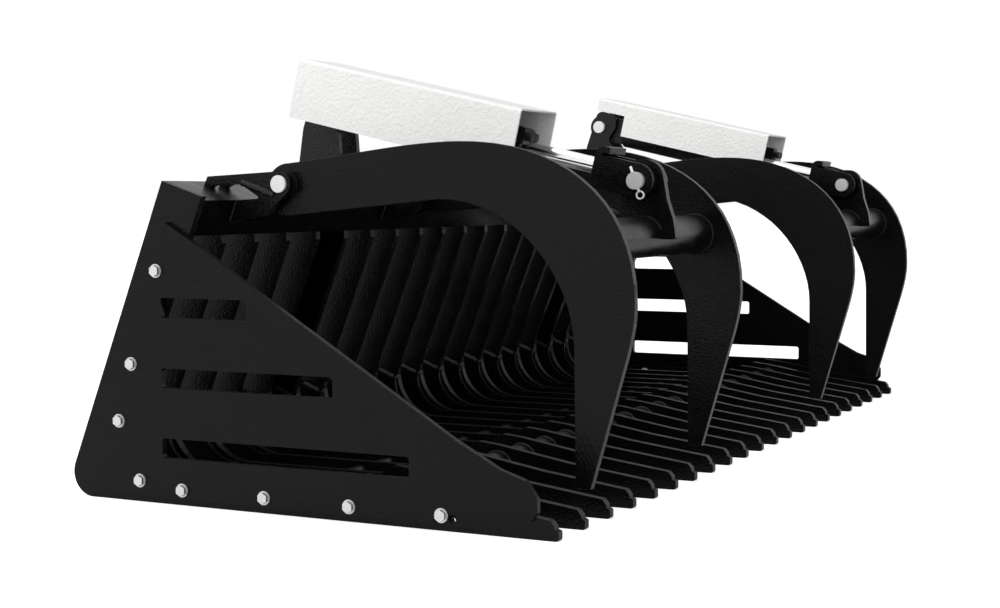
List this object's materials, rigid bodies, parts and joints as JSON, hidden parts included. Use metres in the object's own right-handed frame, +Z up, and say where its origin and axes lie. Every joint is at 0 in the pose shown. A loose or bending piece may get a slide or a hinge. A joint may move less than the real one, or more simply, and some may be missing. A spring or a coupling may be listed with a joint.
{
  "type": "rock grapple bucket",
  "caption": "Skeleton rock bucket of parallel tines with slotted side panels and two independent hydraulic grapples that close over the load.",
  "frame": {"origin": "on the floor, in the middle of the part's width and length, with the grapples closed", "axes": "+Z up, -Y towards the tine tips, X along the width"},
  "size_m": [1.845, 0.9162, 0.6625],
  "materials": {
    "black_paint": "satin black powder coat",
    "zinc": "zinc plated",
    "chrome": "polished chrome",
    "cover_white": "textured white powder coat"
  },
  "bodies": {
    "bucket": {"tine_01": "black_paint", "tine_02": "black_paint", "tine_03": "black_paint", "tine_04": "black_paint", "tine_05": "black_paint", "tine_06": "black_paint", "tine_07": "black_paint", "tine_08": "black_paint", "tine_09": "black_paint", "tine_10": "black_paint", "tine_11": "black_paint", "tine_12": "black_paint", "tine_13": "black_paint", "tine_14": "black_paint", "tine_15": "black_paint", "tine_16": "black_paint", "tine_17": "black_paint", "tine_18": "black_paint", "tine_19": "black_paint", "tine_20": "black_paint", "tine_21": "black_paint", "tine_22": "black_paint", "top_beam": "black_paint", "floor_tube_front": "black_paint", "floor_tube_rear": "black_paint", "side_panel_left": "black_paint", "side_panel_right": "black_paint", "panel_bolts": "zinc", "panel_nuts": "zinc", "mount_uprights": "black_paint", "mount_lip": "black_paint", "mount_ledge": "black_paint", "pivot_ears": "black_paint", "base_lugs": "black_paint", "pivot_pins": "zinc", "base_pins": "zinc"},
    "grapple_left": {"arm_outer_left": "black_paint", "arm_inner_left": "black_paint", "arm_tube_left": "black_paint", "arm_lug_left": "black_paint"},
    "cylinder_left": {"barrel_left": "black_paint", "gland_left": "black_paint", "ports_left": "black_paint", "cover_left": "cover_white"},
    "rod_left": {"rod_left": "chrome", "yoke_left": "black_paint", "yoke_pin_left": "zinc", "yoke_cotter_left": "zinc"},
    "grapple_right": {"arm_outer_right": "black_paint", "arm_inner_right": "black_paint", "arm_tube_right": "black_paint", "arm_lug_right": "black_paint"},
    "cylinder_right": {"barrel_right": "black_paint", "gland_right": "black_paint", "ports_right": "black_paint", "cover_right": "cover_white"},
    "rod_right": {"rod_right": "chrome", "yoke_right": "black_paint", "yoke_pin_right": "zinc", "yoke_cotter_right": "zinc"}
  },
  "joints": [
    {"name": "grapple_left_pivot", "type": "hinge", "parent": "bucket", "child": "grapple_left", "pos_m": [-0.5653, 0.09194, 0.466], "axis": [-1, 0, 0], "range_deg": [0, 50]},
    {"name": "cylinder_left_base", "type": "hinge", "parent": "bucket", "child": "cylinder_left", "pos_m": [-0.5653, 0.15894, 0.5987], "axis": [-1, 0, 0], "range_deg": [0, 44.8]},
    {"name": "rod_left_yoke", "type": "hinge", "parent": "grapple_left", "child": "rod_left", "pos_m": [-0.5653, -0.38106, 0.4692], "axis": [-1, 0, 0], "range_deg": [-5.2, 0]},
    {"name": "grapple_right_pivot", "type": "hinge", "parent": "bucket", "child": "grapple_right", "pos_m": [0.5653, 0.09194, 0.466], "axis": [-1, 0, 0], "range_deg": [0, 50]},
    {"name": "cylinder_right_base", "type": "hinge", "parent": "bucket", "child": "cylinder_right", "pos_m": [0.5653, 0.15894, 0.5987], "axis": [-1, 0, 0], "range_deg": [0, 44.8]},
    {"name": "rod_right_yoke", "type": "hinge", "parent": "grapple_right", "child": "rod_right", "pos_m": [0.5653, -0.38106, 0.4692], "axis": [-1, 0, 0], "range_deg": [-5.2, 0]}
  ],
  "couplings": [
    {"joint": "cylinder_left_base", "follows": "grapple_left_pivot", "ratio": 0.896},
    {"joint": "rod_left_yoke", "follows": "grapple_left_pivot", "ratio": -0.104},
    {"joint": "cylinder_right_base", "follows": "grapple_right_pivot", "ratio": 0.896},
    {"joint": "rod_right_yoke", "follows": "grapple_right_pivot", "ratio": -0.104}
  ]
}
